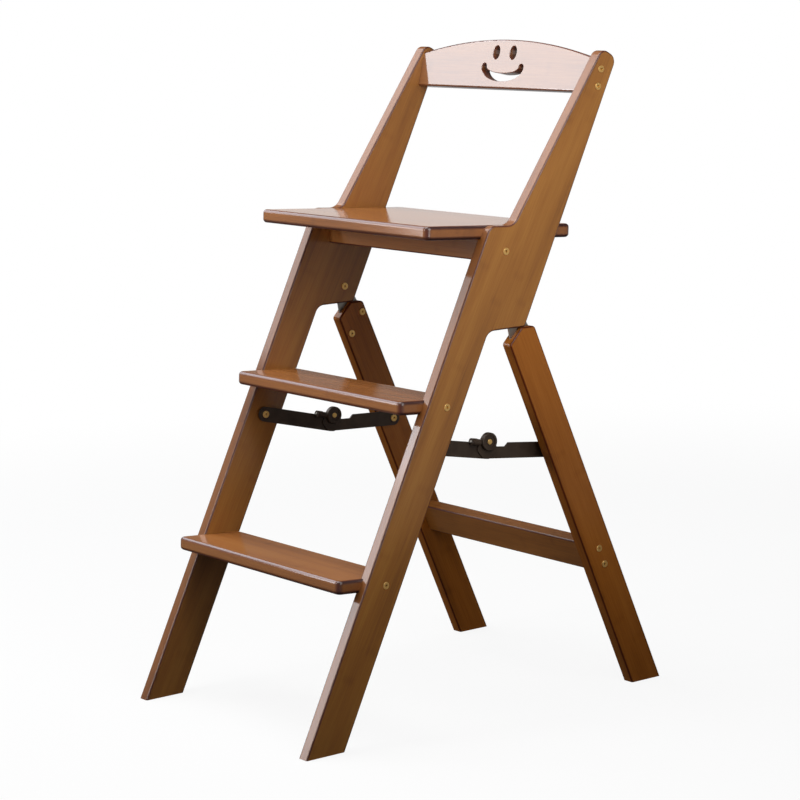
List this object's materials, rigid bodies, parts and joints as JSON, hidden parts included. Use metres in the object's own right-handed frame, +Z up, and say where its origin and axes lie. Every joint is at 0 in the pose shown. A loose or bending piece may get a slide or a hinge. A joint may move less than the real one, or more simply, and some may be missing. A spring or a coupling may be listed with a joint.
{
  "type": "folding step stool chair",
  "caption": "Folding step stool chair of brown varnished bamboo: steps, seat and low backrest between leaning side panels, hinged rear legs held open by locking stays.",
  "frame": {"origin": "on the floor, midway between the two side panels and between the front and rear feet", "axes": "+Z up, -Y the front that a person climbs, +X the right side seen from the front"},
  "size_m": [0.4012, 0.5907, 0.8693],
  "materials": {
    "bamboo": "laminated bamboo board, stained brown, glossy varnish",
    "brass": "brass-plated steel",
    "black_steel": "blackened steel, satin",
    "zinc_steel": "zinc-plated steel"
  },
  "bodies": {
    "front_frame": {"side_panel_left": "bamboo", "side_panel_right": "bamboo", "lower_step": "bamboo", "middle_step": "bamboo", "seat_board": "bamboo", "seat_rail": "bamboo", "backrest_board": "bamboo", "step_screws": "brass", "seat_rail_screws": "brass", "backrest_screws": "brass", "hinge_pivot_bolts": "brass", "stay_front_bolts": "brass", "stay_front_spacers": "black_steel"},
    "rear_frame": {"rear_leg_left": "bamboo", "rear_leg_right": "bamboo", "rear_cross_rail": "bamboo", "rear_rail_screws": "brass", "hinge_plate_left": "zinc_steel", "hinge_plate_right": "zinc_steel", "hinge_plate_bolts": "brass", "stay_rear_spacers": "black_steel"},
    "front_arm_left": {"stay_front_arm_left": "black_steel", "stay_barrel_left": "black_steel"},
    "rear_arm_left": {"stay_rear_arm_left": "black_steel", "stay_lobe_left": "black_steel", "stay_cap_left": "black_steel", "stay_rivet_left": "brass", "stay_rear_bolt_left": "brass"},
    "pin_left": {"lock_pin_left": "zinc_steel"},
    "front_arm_right": {"stay_front_arm_right": "black_steel", "stay_barrel_right": "black_steel"},
    "rear_arm_right": {"stay_rear_arm_right": "black_steel", "stay_lobe_right": "black_steel", "stay_cap_right": "black_steel", "stay_rivet_right": "brass", "stay_rear_bolt_right": "brass"},
    "pin_right": {"lock_pin_right": "zinc_steel"}
  },
  "joints": [
    {"name": "fold", "type": "hinge", "parent": "front_frame", "child": "rear_frame", "pos_m": [0, 0.058, 0.532], "axis": [-1, 0, 0], "range_deg": [0, 46]},
    {"name": "front_arm_left", "type": "hinge", "parent": "front_frame", "child": "front_arm_left", "pos_m": [-0.1775, -0.0867, 0.369], "axis": [-1, 0, 0], "range_deg": [0, 90.09]},
    {"name": "rear_arm_left", "type": "hinge", "parent": "front_arm_left", "child": "rear_arm_left", "pos_m": [-0.1775, 0.02499, 0.35385], "axis": [1, 0, 0], "range_deg": [0, 149.8]},
    {"name": "pin_left", "type": "slide", "parent": "front_arm_left", "child": "pin_left", "axis": [0, 0.9692, -0.2461], "range_m": [0, 0.001], "stiffness_N_per_m": 500, "springref_m": -0.002},
    {"name": "front_arm_right", "type": "hinge", "parent": "front_frame", "child": "front_arm_right", "pos_m": [0.172, -0.0867, 0.369], "axis": [-1, 0, 0], "range_deg": [0, 93.54]},
    {"name": "rear_arm_right", "type": "hinge", "parent": "front_arm_right", "child": "rear_arm_right", "pos_m": [0.172, 0.02601, 0.36047], "axis": [1, 0, 0], "range_deg": [0, 156.78]},
    {"name": "pin_right", "type": "slide", "parent": "front_arm_right", "child": "pin_right", "axis": [0, 0.9822, -0.1879], "range_m": [0, 0.001], "stiffness_N_per_m": 500, "springref_m": -0.002}
  ],
  "couplings": [
    {"joint": "front_arm_left", "follows": "fold", "ratio": 1.9585},
    {"joint": "rear_arm_left", "follows": "fold", "ratio": 3.2565},
    {"joint": "front_arm_right", "follows": "fold", "ratio": 2.0335},
    {"joint": "rear_arm_right", "follows": "fold", "ratio": 3.4083}
  ]
}
